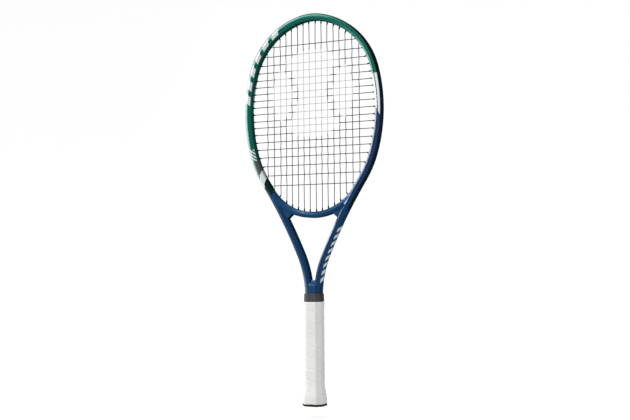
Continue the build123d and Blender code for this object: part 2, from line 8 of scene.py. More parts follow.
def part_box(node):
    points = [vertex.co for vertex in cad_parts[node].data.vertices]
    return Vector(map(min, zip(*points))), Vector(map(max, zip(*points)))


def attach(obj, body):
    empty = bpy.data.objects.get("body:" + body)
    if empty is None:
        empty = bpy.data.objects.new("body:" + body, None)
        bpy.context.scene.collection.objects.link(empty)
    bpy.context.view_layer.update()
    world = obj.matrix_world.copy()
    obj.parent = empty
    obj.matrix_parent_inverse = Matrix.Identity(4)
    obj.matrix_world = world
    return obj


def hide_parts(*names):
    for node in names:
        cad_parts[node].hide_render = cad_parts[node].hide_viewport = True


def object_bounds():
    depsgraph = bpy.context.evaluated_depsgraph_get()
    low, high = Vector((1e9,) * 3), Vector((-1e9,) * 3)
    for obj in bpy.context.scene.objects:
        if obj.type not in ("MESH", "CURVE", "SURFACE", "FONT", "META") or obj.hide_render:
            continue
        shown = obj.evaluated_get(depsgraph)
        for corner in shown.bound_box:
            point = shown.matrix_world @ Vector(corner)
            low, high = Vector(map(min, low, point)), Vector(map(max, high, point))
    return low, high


# Looks of a strung tennis racket. Metres. The origin is the centre of the butt end, +Z runs up
# to the tip of the head, and the front of the string bed faces -Y.

bl_info = {
    "name": "Tennis Racket Looks",
    "version": (1, 0, 0),
    "blender": (4, 5, 0),
    "location": "View3D > Sidebar > Racket",
    "description": "Paint, strings, wrapped grip and trim of a tennis racket",
    "category": "Object",
}

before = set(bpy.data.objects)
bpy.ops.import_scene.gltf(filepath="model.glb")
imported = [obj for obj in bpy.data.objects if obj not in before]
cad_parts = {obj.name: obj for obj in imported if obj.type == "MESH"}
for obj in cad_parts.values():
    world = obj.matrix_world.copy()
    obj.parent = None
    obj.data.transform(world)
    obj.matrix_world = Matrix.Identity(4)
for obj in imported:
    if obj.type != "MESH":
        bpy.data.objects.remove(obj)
CAD_LOW, CAD_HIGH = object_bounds()

# Places read from the fixed frame
TUBE_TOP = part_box("frame_tube")[1].z
TUBE_HALF_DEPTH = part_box("frame_tube")[1].y
GRIP_LOW, GRIP_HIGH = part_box("base_grip")
TAPE_LOW, TAPE_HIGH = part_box("finishing_tape")
COLLAR_LOW, COLLAR_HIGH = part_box("grip_collar")
CAP_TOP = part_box("butt_cap")[1].z

# Moulded tube: radius and turn of each tangent arc of the right half, from the tip down
TUBE_ARCS = [
    (0.0850, 10.85),
    (0.1283, 64.3),
    (0.2737, 31.2),
    (0.1770, 16.77),
    (-0.8770, 9.57),
    (-0.1803, 23.55),
]
TUBE_HALF_WIDTH = 0.006
OUTER_EDGE_DEPTH = 0.008
INNER_EDGE = (-0.005, 0.006)
CREASE_IN, CREASE_OUT, CREASE_SUNK = 0.0004, 0.0015, 0.00025
ROUNDING = 0.001
STATION_STEP = 0.004
CHANNEL_SUNK = 0.0024
CHANNEL_HALF = 0.0033
GUARD_HALF = 0.0065
GUARD_LENGTH = 0.1601  # along the tube from the tip to the end of the guard
CHANNEL_LENGTH = 0.4160
STEP_LENGTH = 0.0001
TUBE_BOTTOM = TAPE_HIGH.z
TAIL_BOTTOM = 0.0100
TAIL_SIZE = (0.010, 0.016)
TAIL_X = 0.0069

# Throat
BRIDGE_CENTRE = 0.4290
BRIDGE_RADIUS = 0.0980
BRIDGE_SCALE = (0.0055 / 0.006, 0.0105 / 0.0115)
BRIDGE_TURN = 56.0
BRIDGE_CHANNEL_TURN = 35.0
WEB_FROM, WEB_TO = 54.0, 36.0
WEB_ALONG = (0.3845, 0.4125)
GUSSET_OUTLINE = [(0.0395, 0.333), (0.0490, 0.3245), (0.0680, 0.352), (0.0580, 0.356)]
GUSSET_DEPTHS = (0.0033, 0.0065)
SADDLE_DEPTH = 0.0112
SADDLE_CREST = 0.2190
SADDLE_EDGE = 0.2090

# Handle
OCTAGON_HALF = (0.0147, 0.0134)
OCTAGON_FLAT = (0.0082, 0.0061)
GRIP_THICK = 0.0018
FLARE_GROWTH = 0.0035
FLARE_LOW = 0.0120
COLLAR_GAP = 0.0005

# Paint zones, by length along the tube from the tip
HOOP_BARS_FROM, HOOP_BARS_LENGTH, HOOP_BAR_PITCH = 0.0660, 0.1465, 0.0260
ARM_BARS, ARM_BAR_PITCH = (0.4475, 0.5570), 0.0136
# Mint band: pale paint with a painted highlight on the outer-front facet that faces the light
MINT_AND_HIGHLIGHT_BAND = (0.020, 0.350)
SLASHES, SLASH_PITCH = (0.296, 0.318), 0.0070
GREY_PANEL = (0.323, 0.349)
WHITE_SWOOSH = (0.346, 0.364)
BLUE_FROM = 0.388
STRIPES_FROM, STRIPES_TO = 0.176, 0.238
SLATE_FADE = (0.25, 0.36)
BLACK_TO = 0.176
FLANK_TO = 0.420
# Stretch of painted shade darkening the crease beside the front ridge
CREASE_SHADE_SPAN = (-0.001, 0.580)
COLLAR_FADE = (0.566, 0.582)

# Paint zones, by distance out across the tube
FLANK_OUT = 0.0051
CHANNEL_OUT, CHANNEL_FLANK = 0.0030, 0.0079
GUARD_LINE_OUT = 0.0043

GUARD_BLACK = (0.010, 0.012, 0.014)
FLANK_BLUE = (0.022, 0.045, 0.090)
FADE_GREY = (0.045, 0.052, 0.065)
FLAKE_SHARE = 0.45

# Stage: the floor lies below the butt, clear of the cap door when it is pulled down
FLOOR_Z = -0.020
SWEEP_FLAT = 1.6
SWEEP_HEIGHT = 4.0


class RacketPaint(bpy.types.PropertyGroup):
    """Colours of the moulded frame."""

    green: bpy.props.FloatVectorProperty(
        name="Green", description="Head colour", subtype="COLOR", default=(0.017, 0.250, 0.195))
    deep_green: bpy.props.FloatVectorProperty(
        name="Deep green", description="Band below the swoosh", subtype="COLOR",
        default=(0.004, 0.050, 0.050))
    # Mint is lighter than the paint alone: it holds a painted highlight on the outer-front edge
    mint_and_highlight: bpy.props.FloatVectorProperty(
        name="Mint", description="Pale outer edge", subtype="COLOR", default=(0.23, 0.50, 0.44))
    white: bpy.props.FloatVectorProperty(
        name="White", description="Stripes and bars", subtype="COLOR", default=(0.80, 0.86, 0.86))
    grey: bpy.props.FloatVectorProperty(
        name="Grey", description="Side panel", subtype="COLOR", default=(0.18, 0.19, 0.20))
    slate: bpy.props.FloatVectorProperty(
        name="Slate blue", description="Blue beside the stripes", subtype="COLOR",
        default=(0.055, 0.098, 0.210))
    blue: bpy.props.FloatVectorProperty(
        name="Blue", description="Throat and shaft colour", subtype="COLOR",
        default=(0.019, 0.096, 0.240))
    coat: bpy.props.FloatProperty(
        name="Lacquer", description="Weight of the clear lacquer", min=0, max=1, default=0.7)


class RacketStrings(bpy.types.PropertyGroup):
    """Colours and stencil of the string bed."""

    dark: bpy.props.FloatVectorProperty(
        name="String", description="Plain string colour", subtype="COLOR", default=(0.016, 0.016, 0.018))
    ink: bpy.props.FloatVectorProperty(
        name="Stencil ink", description="Stencil colour", subtype="COLOR", default=(0.62, 0.62, 0.62))
    stencil_radius: bpy.props.FloatProperty(
        name="Stencil radius", description="Radius of the stencilled ball", unit="LENGTH", default=0.078)
    stencil_height: bpy.props.FloatProperty(
        name="Stencil height", description="Height of the ball's centre", unit="LENGTH", default=0.545)


class RacketHandle(bpy.types.PropertyGroup):
    """Sizes and colours of the handle."""

    wrap_pitch: bpy.props.FloatProperty(
        name="Wrap pitch", description="Height that one turn of the grip climbs", unit="LENGTH",
        default=0.0200)
    seam_depth: bpy.props.FloatProperty(
        name="Seam depth", description="Depth of the groove at a seam", unit="LENGTH", default=0.0008)
    grip_colour: bpy.props.FloatVectorProperty(
        name="Grip", description="Grip colour", subtype="COLOR", default=(0.80, 0.805, 0.785))
    tape_colour: bpy.props.FloatVectorProperty(
        name="Tape", description="Finishing tape colour", subtype="COLOR", default=(0.86, 0.86, 0.86))
    rubber: bpy.props.FloatVectorProperty(
        name="Rubber", description="Collar colour", subtype="COLOR", default=(0.045, 0.045, 0.045))


class RacketStage(bpy.types.PropertyGroup):
    """Camera and light."""

    camera_place: bpy.props.FloatVectorProperty(
        name="Camera", description="Place of the camera", subtype="TRANSLATION",
        default=(0.7414, -1.5900, 0.2534))
    camera_turn: bpy.props.FloatVectorProperty(
        name="Camera turn", description="Direction of view: turn about Z, tilt up, then roll",
        subtype="EULER", size=3,
        default=(math.radians(24.930), math.radians(2.805), math.radians(0.45)))
    lens: bpy.props.FloatProperty(
        name="Lens", description="Focal length in millimetres", default=57.35)
    key_power: bpy.props.FloatProperty(
        name="Key light", description="Power of the main soft light", unit="POWER", default=20)
    fill_power: bpy.props.FloatProperty(
        name="Fill light", description="Power of the front fill", unit="POWER", default=10)
    side_power: bpy.props.FloatProperty(
        name="Side softbox", description="Power of the large softbox on the left", unit="POWER", default=10)
    card_power: bpy.props.FloatProperty(
        name="Gloss card", description="Power of the card that only gloss reflects", unit="POWER", default=45)
    ambient: bpy.props.FloatProperty(
        name="Ambient", description="Brightness of the room", default=0.67)


# Meshes


class Builder:
    """Collects the rings and faces of one mesh, with the paint coordinates of each point."""

    def __init__(self):
        self.points = []
        self.faces = []
        self.along = []
        self.out = []

    def ring(self, points, along=0.0, outs=None):
        """Adds points and gives their numbers. Along is one value, and outs one for each point."""
        first = len(self.points)
        self.points += [tuple(point) for point in points]
        self.along += [along] * len(points)
        self.out += outs or [0.0] * len(points)
        return list(range(first, first + len(points)))

    def skin(self, rings, closed=False, caps=True):
        """Joins rings of equal length with quads, and closes the two ends."""
        pairs = list(zip(rings, rings[1:]))
        if closed:
            pairs.append((rings[-1], rings[0]))
        for low, high in pairs:
            for i in range(len(low)):
                j = (i + 1) % len(low)
                self.faces.append((low[i], low[j], high[j], high[i]))
        if caps and not closed:
            self.faces.append(tuple(reversed(rings[0])))
            self.faces.append(tuple(rings[-1]))

    def piece(self, name, body, material, crisp=30.0):
        """Makes the object, smooth but for edges sharper than crisp degrees, and hangs it on its body."""
        mesh = bpy.data.meshes.new(name)
        mesh.from_pydata(self.points, [], self.faces)
        for label, values in (("along", self.along), ("out", self.out)):
            mesh.attributes.new(label, "FLOAT", "POINT").data.foreach_set("value", values)
        tidy_mesh(mesh)
        mesh.shade_smooth()
        mesh.set_sharp_from_angle(angle=math.radians(crisp))
        mesh.materials.append(material)
        made = bpy.data.objects.new(name, mesh)
        bpy.context.scene.collection.objects.link(made)
        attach(made, body)
        return made


def tidy_mesh(mesh):
    """Merges points that coincide and turns every face outwards."""
    work = bmesh.new()
    work.from_mesh(mesh)
    bmesh.ops.remove_doubles(work, verts=work.verts, dist=1e-6)
    bmesh.ops.recalc_face_normals(work, faces=work.faces)
    work.to_mesh(mesh)
    work.free()


def rounded(corners, radius, steps=4):
    """A closed outline with its corners rounded: corners are (x, y) or (x, y, radius)."""
    outline = []
    count = len(corners)
    for i, corner in enumerate(corners):
        here = Vector(corner[:2])
        size = corner[2] if len(corner) > 2 else radius
        before = (Vector(corners[i - 1][:2]) - here).normalized()
        after = (Vector(corners[(i + 1) % count][:2]) - here).normalized()
        if size == 0:
            outline.append(here)
            continue
        half = before.angle(after) / 2
        reach = size / math.tan(half)
        centre = here + (before + after).normalized() * (size / math.sin(half))
        start = here + before * reach - centre
        turn = start.angle_signed(here + after * reach - centre)
        for step in range(steps + 1):
            outline.append(centre + Matrix.Rotation(-turn * step / steps, 2) @ start)
    return outline


def even_outline(corners, radius, count):
    """Points at equal spacing round a rounded outline, each with its outward normal."""
    outline = rounded(corners, radius, 12)
    lengths = [(outline[(i + 1) % len(outline)] - p).length for i, p in enumerate(outline)]
    total = sum(lengths)
    points = []
    edge, passed = 0, 0.0
    for number in range(count):
        target = total * number / count
        while passed + lengths[edge] < target:
            passed += lengths[edge]
            edge += 1
        start, end = outline[edge], outline[(edge + 1) % len(outline)]
        share = (target - passed) / max(lengths[edge], 1e-9)
        points.append(start.lerp(end, share))
    normals = []
    for i in range(count):
        way = points[(i + 1) % count] - points[i - 1]
        normals.append(Vector((way.y, -way.x)).normalized())
    return points, normals


# Moulded frame


def tube_outline(sunk, half, wide=1.0, deep=1.0):
    """Section of the tube as (out, depth) points, with its crease, and its channel if sunk."""
    width = TUBE_HALF_WIDTH * wide
    depth = TUBE_HALF_DEPTH * deep
    edge = OUTER_EDGE_DEPTH * deep
    fall = (depth - edge) / width
    inner_x, inner_y = INNER_EDGE[0] * wide, INNER_EDGE[1] * deep
    crease_deep = [
        (CREASE_IN, depth - fall * CREASE_IN - 0.5 * CREASE_SUNK, 0),
        (CREASE_OUT * 0.6, depth - fall * CREASE_OUT * 0.6 - CREASE_SUNK, 0),
        (CREASE_OUT, depth - fall * CREASE_OUT, 0),
    ]
    floor = width - sunk
    corners = [(inner_x, -inner_y), (-width, 0, 0.0004), (inner_x, inner_y), (0, depth, 0.0007)]
    corners += crease_deep
    corners += [(width, edge), (width, half, 0), (floor, half, 0), (floor, -half, 0), (width, -half, 0)]
    corners += [(width, -edge)]
    corners += [(x, -y, r) for x, y, r in reversed(crease_deep)]
    corners += [(0, -depth, 0.0007)]
    return rounded(corners, ROUNDING)


def tube_stations():
    """Centreline of the right half: x, z, outward (x, z) and length from the tip."""
    stations = []
    heading, length = 0.0, 0.0
    x, z = 0.0, TUBE_TOP - TUBE_HALF_WIDTH
    for radius, turn in TUBE_ARCS:
        side, up = math.sin(heading), math.cos(heading)
        centre = (x - radius * side, z - radius * up)
        arc = abs(radius) * math.radians(turn)
        steps = max(3, math.ceil(arc / STATION_STEP))
        for step in range(steps):
            angle = heading + math.copysign(math.radians(turn), radius) * step / steps
            side, up = math.sin(angle), math.cos(angle)
            stations.append((centre[0] + radius * side, centre[1] + radius * up, side, up,
                             length + arc * step / steps))
        heading += math.copysign(math.radians(turn), radius)
        length += arc
        side, up = math.sin(heading), math.cos(heading)
        x, z = centre[0] + radius * side, centre[1] + radius * up
    stations.append((x, z, side, up, length))
    stations.append((x, TUBE_BOTTOM, side, up, length + z - TUBE_BOTTOM))
    return stations


def station_at(length):
    """The station of the right half at a length from the tip."""
    stations = tube_stations()
    for low, high in zip(stations, stations[1:]):
        if low[4] <= length <= high[4]:
            share = (length - low[4]) / (high[4] - low[4])
            return tuple(a + (b - a) * share for a, b in zip(low, high))
    return stations[-1]


def channel_at(length):
    """Half width and depth of the grommet channel at a length from the tip."""
    if length < GUARD_LENGTH:
        return CHANNEL_SUNK, GUARD_HALF
    if length < CHANNEL_LENGTH:
        return CHANNEL_SUNK, CHANNEL_HALF
    return 0.0, CHANNEL_HALF


def add_tube(builder):
    """The hairpin tube round the head and down both legs."""
    right = tube_stations()
    for end in (GUARD_LENGTH, CHANNEL_LENGTH):
        right.append(station_at(end - STEP_LENGTH))
        right.append(station_at(end + STEP_LENGTH))
    right.sort(key=lambda station: station[4])
    left = [(-x, z, -side, up, length) for x, z, side, up, length in reversed(right[1:])]
    rings = []
    for x, z, side, up, length in left + right:
        outline = tube_outline(*channel_at(length))
        points = [(x + side * out, depth, z + up * out) for out, depth in outline]
        rings.append(builder.ring(points, length, [out for out, _ in outline]))
    builder.skin(rings)


def bridge_point(turn, out):
    """Place beside the bridge's centreline, this many degrees from its lowest point."""
    angle = math.radians(turn)
    radius = BRIDGE_RADIUS + out
    return radius * math.sin(angle), BRIDGE_CENTRE - radius * math.cos(angle)


def add_bridge(builder, paint_along):
    """The bridge across the throat."""
    turns = [-BRIDGE_TURN + 2 * BRIDGE_TURN * i / 80 for i in range(81)]
    for edge in (-BRIDGE_CHANNEL_TURN, BRIDGE_CHANNEL_TURN):
        turns += [edge - 0.05, edge + 0.05]
    rings = []
    for turn in sorted(turns):
        sunk = CHANNEL_SUNK if abs(turn) < BRIDGE_CHANNEL_TURN else 0.0
        merge = max(0.0, (abs(turn) - BRIDGE_CHANNEL_TURN) / (BRIDGE_TURN - BRIDGE_CHANNEL_TURN))
        deep = BRIDGE_SCALE[1] * (1 - 0.012 * merge)
        outline = tube_outline(sunk, CHANNEL_HALF, BRIDGE_SCALE[0], deep)
        points = []
        for out, depth in outline:
            x, z = bridge_point(turn, out)
            points.append((x, depth, z))
        rings.append(builder.ring(points, paint_along, [-0.003] * len(points)))
    builder.skin(rings)


def add_webs(builder, paint_along):
    """Filled corners between the bridge and the arms, front to back."""
    for side in (-1, 1):
        rings = []
        for step in range(9):
            share = step / 8
            turn = WEB_FROM + (WEB_TO - WEB_FROM) * share
            bridge_x, bridge_z = bridge_point(turn, 0.0)
            arm = station_at(WEB_ALONG[0] + (WEB_ALONG[1] - WEB_ALONG[0]) * share)
            sag = 0.0004 + 0.0012 * share * share
            middle_x, middle_z = (bridge_x + arm[0]) / 2, (bridge_z + arm[1]) / 2
            near = TUBE_HALF_DEPTH * BRIDGE_SCALE[1] - 0.0004
            far = TUBE_HALF_DEPTH - 0.0005
            across = [(bridge_x, near, bridge_z), (middle_x, far - sag, middle_z), (arm[0], far, arm[1])]
            loop = across + [(x, -y, z) for x, y, z in reversed(across)]
            loop = [(side * x, y, z) for x, y, z in loop]
            rings.append(builder.ring(loop, paint_along, [-0.003] * len(loop)))
        builder.skin(rings)


def add_prism(builder, outline, near, far, along):
    """A flat plate with its outline in the string plane, between two depths."""
    rings = [builder.ring([(x, y, z) for x, z in outline], along, [-0.003] * len(outline))
             for y in (near, far)]
    builder.skin(rings)


def add_gussets(builder, paint_along):
    """Two thin plates in each corner of the throat."""
    outline = [tuple(point) for point in rounded(GUSSET_OUTLINE, 0.0015, 3)]
    for side in (-1, 1):
        mirrored = [(side * x, z) for x, z in outline]
        for face in (-1, 1):
            add_prism(builder, mirrored, face * GUSSET_DEPTHS[0], face * GUSSET_DEPTHS[1], paint_along)


def add_saddle(builder, paint_along):
    """Web between the legs above the handle, with its roof-shaped top."""
    leg = tube_stations()[-1][0]
    profile = [(-SADDLE_DEPTH, TUBE_BOTTOM), (SADDLE_DEPTH, TUBE_BOTTOM),
               (SADDLE_DEPTH, SADDLE_EDGE), (0, SADDLE_CREST), (-SADDLE_DEPTH, SADDLE_EDGE)]
    outline = rounded(profile, 0.0015, 4)
    rings = []
    for step in range(9):
        share = step / 4 - 1
        scoop = 0.0015 * (1 - share * share)
        points = [(leg * share, y, z - scoop if z > SADDLE_EDGE - 0.003 else z) for y, z in outline]
        rings.append(builder.ring(points, paint_along, [-0.0005] * len(points)))
    builder.skin(rings)


def add_tails(builder):
    """The two narrow tails of the tube inside the handle."""
    half_x, half_y = TAIL_SIZE[0] / 2, TAIL_SIZE[1] / 2
    corners = [(-half_x, -half_y), (half_x, -half_y), (half_x, half_y), (-half_x, half_y)]
    outline = rounded(corners, 0.0035)
    for side in (-1, 1):
        rings = [builder.ring([(side * TAIL_X + x, y, z) for x, y in outline], 0.6)
                 for z in (TAIL_BOTTOM, TUBE_BOTTOM)]
        builder.skin(rings)


# Shading


class Finish:
    """Node tree of one material, with short calls for the nodes that the finishes use."""

    def __init__(self, name):
        self.material = bpy.data.materials.new(name)
        self.material.use_nodes = True
        self.tree = self.material.node_tree
        self.shader = self.tree.nodes["Principled BSDF"]
        self.place = self.tree.nodes.new("ShaderNodeTexCoord").outputs["Object"]

    def node(self, kind, *values, **settings):
        """A node with its settings, and its inputs in order from values or other outputs."""
        made = self.tree.nodes.new(kind)
        for label, value in settings.items():
            setattr(made, label, value)
        for number, value in enumerate(values):
            self.feed(made.inputs[number], value)
        return made

    def feed(self, socket, value):
        if isinstance(value, bpy.types.NodeSocket):
            self.tree.links.new(value, socket)
        elif value is not None:
            socket.default_value = value

    def math(self, operation, *values):
        return self.node("ShaderNodeMath", *values, operation=operation).outputs[0]

    def attribute(self, label):
        return self.node("ShaderNodeAttribute", attribute_name=label).outputs["Fac"]

    def axes(self):
        return self.node("ShaderNodeSeparateXYZ", self.place).outputs

    def above(self, value, edge, soft=0.0004):
        """0 below an edge and 1 above it, with a short soft step."""
        made = self.node("ShaderNodeMapRange", value, edge - soft / 2, edge + soft / 2, 0.0, 1.0)
        return made.outputs[0]

    def between(self, value, low, high, soft=0.0004):
        """1 from low to high and 0 elsewhere."""
        return self.math("SUBTRACT", self.above(value, low, soft), self.above(value, high, soft))

    def both(self, *masks):
        """1 where every mask is 1."""
        made = masks[0]
        for mask in masks[1:]:
            made = self.math("MULTIPLY", made, mask)
        return made

    def mix(self, mask, first, second):
        """First colour where the mask is 0, second where it is 1."""
        made = self.tree.nodes.new("ShaderNodeMix")
        made.data_type = "RGBA"
        self.feed(made.inputs[0], mask)
        self.feed(made.inputs[6], colour(first))
        self.feed(made.inputs[7], colour(second))
        return made.outputs[2]

    def noise(self, scale, detail=3.0):
        made = self.tree.nodes.new("ShaderNodeTexNoise")
        self.tree.links.new(self.place, made.inputs["Vector"])
        made.inputs["Scale"].default_value = scale
        made.inputs["Detail"].default_value = detail
        return made.outputs["Fac"]

    def spread(self, value, low, high):
        """Stretches a value from 0..1 to low..high."""
        return self.node("ShaderNodeMapRange", value, 0.0, 1.0, low, high).outputs[0]

    def relief(self, height, distance, strength=1.0):
        """Bump of a real height in metres."""
        made = self.tree.nodes.new("ShaderNodeBump")
        made.inputs["Strength"].default_value = strength
        made.inputs["Distance"].default_value = distance
        self.tree.links.new(height, made.inputs["Height"])
        self.tree.links.new(made.outputs[0], self.shader.inputs["Normal"])

    def set(self, **values):
        """Sets or links the shader's own sockets, named with underscores."""
        for label, value in values.items():
            socket = self.shader.inputs[label.replace("_", " ")]
            self.feed(socket, colour(value) if socket.type == "RGBA" else value)
        return self.material


def colour(value):
    """Four numbers for a colour socket."""
    if isinstance(value, bpy.types.NodeSocket):
        return value
    return (*tuple(value)[:3], 1.0)


def frame_paint(paint):
    """Lacquered paint with its zones, stripes and bars placed along and across the tube, with a painted
    highlight in the mint edge band and painted shade in the creases and on the inner face.
    """
    f = Finish("racket_paint")
    x, y, _ = f.axes()
    along, out = f.attribute("along"), f.attribute("out")
    right = f.math("LESS_THAN", f.math("MULTIPLY", x, y), 0.0)
    cloud = f.noise(9.0, 2.0)

    # left side as seen from either face
    lean = f.math("MULTIPLY_ADD", out, 0.9, along)
    # Pale mint band on the outer-front facet of the left side: paint and a painted highlight where the facet
    # faces the light
    mint_band_and_highlight = f.both(f.above(out, 0.0026), f.between(along, *MINT_AND_HIGHLIGHT_BAND, 0.004))
    left = f.mix(mint_band_and_highlight, paint.green, paint.mint_and_highlight)
    reach = f.math("SUBTRACT", lean, HOOP_BARS_FROM)
    stroke = f.math("MODULO", reach, HOOP_BAR_PITCH)
    bars = f.both(f.between(stroke, 0.0004, 0.0164), f.between(out, -0.0036, 0.0046),
                  f.between(reach, 0.0, HOOP_BARS_LENGTH))
    left = f.mix(bars, left, paint.white)
    slash = f.math("MODULO", f.math("MULTIPLY_ADD", out, 1.3, along), SLASH_PITCH)
    slashes = f.both(f.above(slash, 0.0032), f.between(along, *SLASHES, 0.0008),
                     f.between(out, -0.0042, 0.0030))
    left = f.mix(slashes, left, paint.white)
    sweep = f.math("MULTIPLY_ADD", out, -1.4, along)
    left = f.mix(f.both(f.between(sweep, *GREY_PANEL), f.above(f.math("MULTIPLY", out, -1.0), -0.0030)),
                 left, paint.grey)
    left = f.mix(f.between(sweep, *WHITE_SWOOSH), left, paint.white)
    left = f.mix(f.above(sweep, WHITE_SWOOSH[1]), left, paint.deep_green)
    left = f.mix(f.above(f.math("MULTIPLY_ADD", out, 2.2, along), BLUE_FROM, 0.010), left, paint.blue)

    # right side
    stripe_end = f.math("MULTIPLY_ADD", out, -1.9, along)
    slate_fade = f.node("ShaderNodeMapRange", along, *SLATE_FADE, 0.0, 1.0).outputs[0]
    slate = f.mix(slate_fade, paint.slate, paint.blue)
    rightward = f.mix(f.above(stripe_end, STRIPES_TO), paint.green, slate)
    before_end = f.math("SUBTRACT", 1.0, f.above(stripe_end, STRIPES_TO))
    stripes = f.both(f.above(along, STRIPES_FROM, 0.0008), before_end)
    gap = f.between(f.math("MULTIPLY_ADD", along, -0.03, out), -0.0064, -0.0052, 0.0002)
    stripes = f.math("MULTIPLY", stripes, f.math("SUBTRACT", 1.0, gap))
    rightward = f.mix(stripes, rightward, paint.white)

    body = f.mix(right, left, rightward)

    # outer side: black in the guard stretch, dark blue below it, slanted bars down the arms
    channel = f.both(f.above(out, CHANNEL_OUT, 0.0003), f.between(y, -CHANNEL_FLANK, CHANNEL_FLANK))
    side = f.math("MAXIMUM", f.above(out, FLANK_OUT, 0.0003), channel)
    below_guard = f.above(along, BLACK_TO, 0.004)
    flank = f.mix(below_guard, GUARD_BLACK, FLANK_BLUE)
    body = f.mix(f.both(side, f.math("SUBTRACT", 1.0, f.above(along, FLANK_TO, 0.010))), body, flank)
    tilt = f.math("MULTIPLY_ADD", y, 0.45, along)
    dashes = f.both(f.between(f.math("MODULO", tilt, ARM_BAR_PITCH), 0.0040, 0.0116), side,
                    f.between(y, -0.0072, 0.0055), f.between(tilt, *ARM_BARS))
    body = f.mix(dashes, body, paint.white)
    beside_guard = f.math("SUBTRACT", 1.0, f.above(along, 0.160, 0.0008))
    guard_line = f.both(f.above(out, GUARD_LINE_OUT, 0.0003), beside_guard)
    body = f.mix(guard_line, body, GUARD_BLACK)
    # Painted shade: the crease just outside the front ridge is darkened
    crease_shade_mask = f.both(f.between(out, 0.0003, 0.0014, 0.0003), f.between(along, *CREASE_SHADE_SPAN, 0.004))
    shade = f.mix(crease_shade_mask, (1, 1, 1), (0.30, 0.33, 0.36))
    # Painted shade: the inner face of the tube, turned away from the light, is darkened to half
    inner = f.mix(f.above(f.math("MULTIPLY", out, -1.0), 0.0049), (1, 1, 1), (0.50, 0.50, 0.52))
    tint = f.mix(f.spread(cloud, 0.0, 1.0), (0.92, 0.92, 0.92), (1.08, 1.08, 1.08))
    body = multiply(f, multiply(f, multiply(f, body, shade), inner), tint)
    collar_fade = f.node("ShaderNodeMapRange", along, *COLLAR_FADE, 0.0, 1.0).outputs[0]
    body = f.mix(f.math("MULTIPLY", collar_fade, 0.85), body, FADE_GREY)
    flake = f.noise(5200.0, 0.0)
    peel = f.noise(420.0, 1.0)
    f.relief(peel, 0.00004, 0.35)
    rough = f.math("ADD", f.spread(flake, 0.24, 0.34), f.spread(cloud, 0.0, 0.06))
    pale = f.above(f.node("ShaderNodeRGBToBW", body).outputs[0], 0.30, 0.10)
    flake_share = f.math("MULTIPLY_ADD", pale, -FLAKE_SHARE, FLAKE_SHARE)
    bare = f.math("MAXIMUM", guard_line, f.both(side, f.math("SUBTRACT", 1.0, below_guard)))
    lacquer = f.math("MULTIPLY_ADD", bare, -paint.coat, paint.coat)
    rough = f.math("MULTIPLY_ADD", bare, 0.30, rough)
    return f.set(Base_Color=body, Roughness=rough, Metallic=flake_share, Coat_Weight=lacquer,
                 Coat_Roughness=0.12, Specular_IOR_Level=0.28)


def multiply(f, first, second):
    """Product of two colours."""
    made = f.tree.nodes.new("ShaderNodeMix")
    made.data_type = "RGBA"
    made.blend_type = "MULTIPLY"
    made.inputs[0].default_value = 1.0
    f.feed(made.inputs[6], colour(first))
    f.feed(made.inputs[7], colour(second))
    return made.outputs[2]


def nylon(name, base, worn, low, high):
    """Moulded nylon or ABS with a fine grain and rubbed patches."""
    f = Finish(name)
    grain = f.noise(2600.0, 2.0)
    rub = f.noise(60.0, 4.0)
    f.relief(grain, 0.00003, 0.5)
    patches = f.above(rub, 0.60, 0.16)
    rough = f.math("ADD", f.spread(grain, low, high), f.math("MULTIPLY", patches, 0.10))
    return f.set(Base_Color=f.mix(patches, base, worn), Roughness=rough, Specular_IOR_Level=0.45)


def string_finish(strings):
    """Dark polymer string, with a stencilled ball in white ink on the upper bed."""
    f = Finish("string_polymer")
    x, _, z = f.axes()
    centre_z = f.math("SUBTRACT", z, strings.stencil_height)
    disc = distance(f, x, centre_z, 0.0)
    ball = f.math("SUBTRACT", 1.0, f.above(disc, strings.stencil_radius, 0.0008))
    reach = strings.stencil_radius * 1.35
    for side in (-1, 1):
        seam = distance(f, x, centre_z, side * reach)
        ball = f.math("MULTIPLY", ball, f.math("SUBTRACT", 1.0, f.between(seam, 0.066, 0.078, 0.0008)))
    worn = f.above(f.noise(1500.0, 2.0), 0.36, 0.10)
    ink = f.math("MULTIPLY", ball, worn)
    f.relief(f.noise(3000.0, 1.0), 0.00002, 0.4)
    rough = f.spread(f.noise(240.0, 2.0), 0.46, 0.60)
    return f.set(Base_Color=f.mix(ink, strings.dark, strings.ink), Roughness=rough, Specular_IOR_Level=0.06)


def distance(f, x, z, centre_x):
    """Distance in the string plane from a point on the bed's middle line."""
    across = f.math("SUBTRACT", x, centre_x)
    squared = f.math("ADD", f.math("MULTIPLY", across, across), f.math("MULTIPLY", z, z))
    return f.math("SQRT", squared)


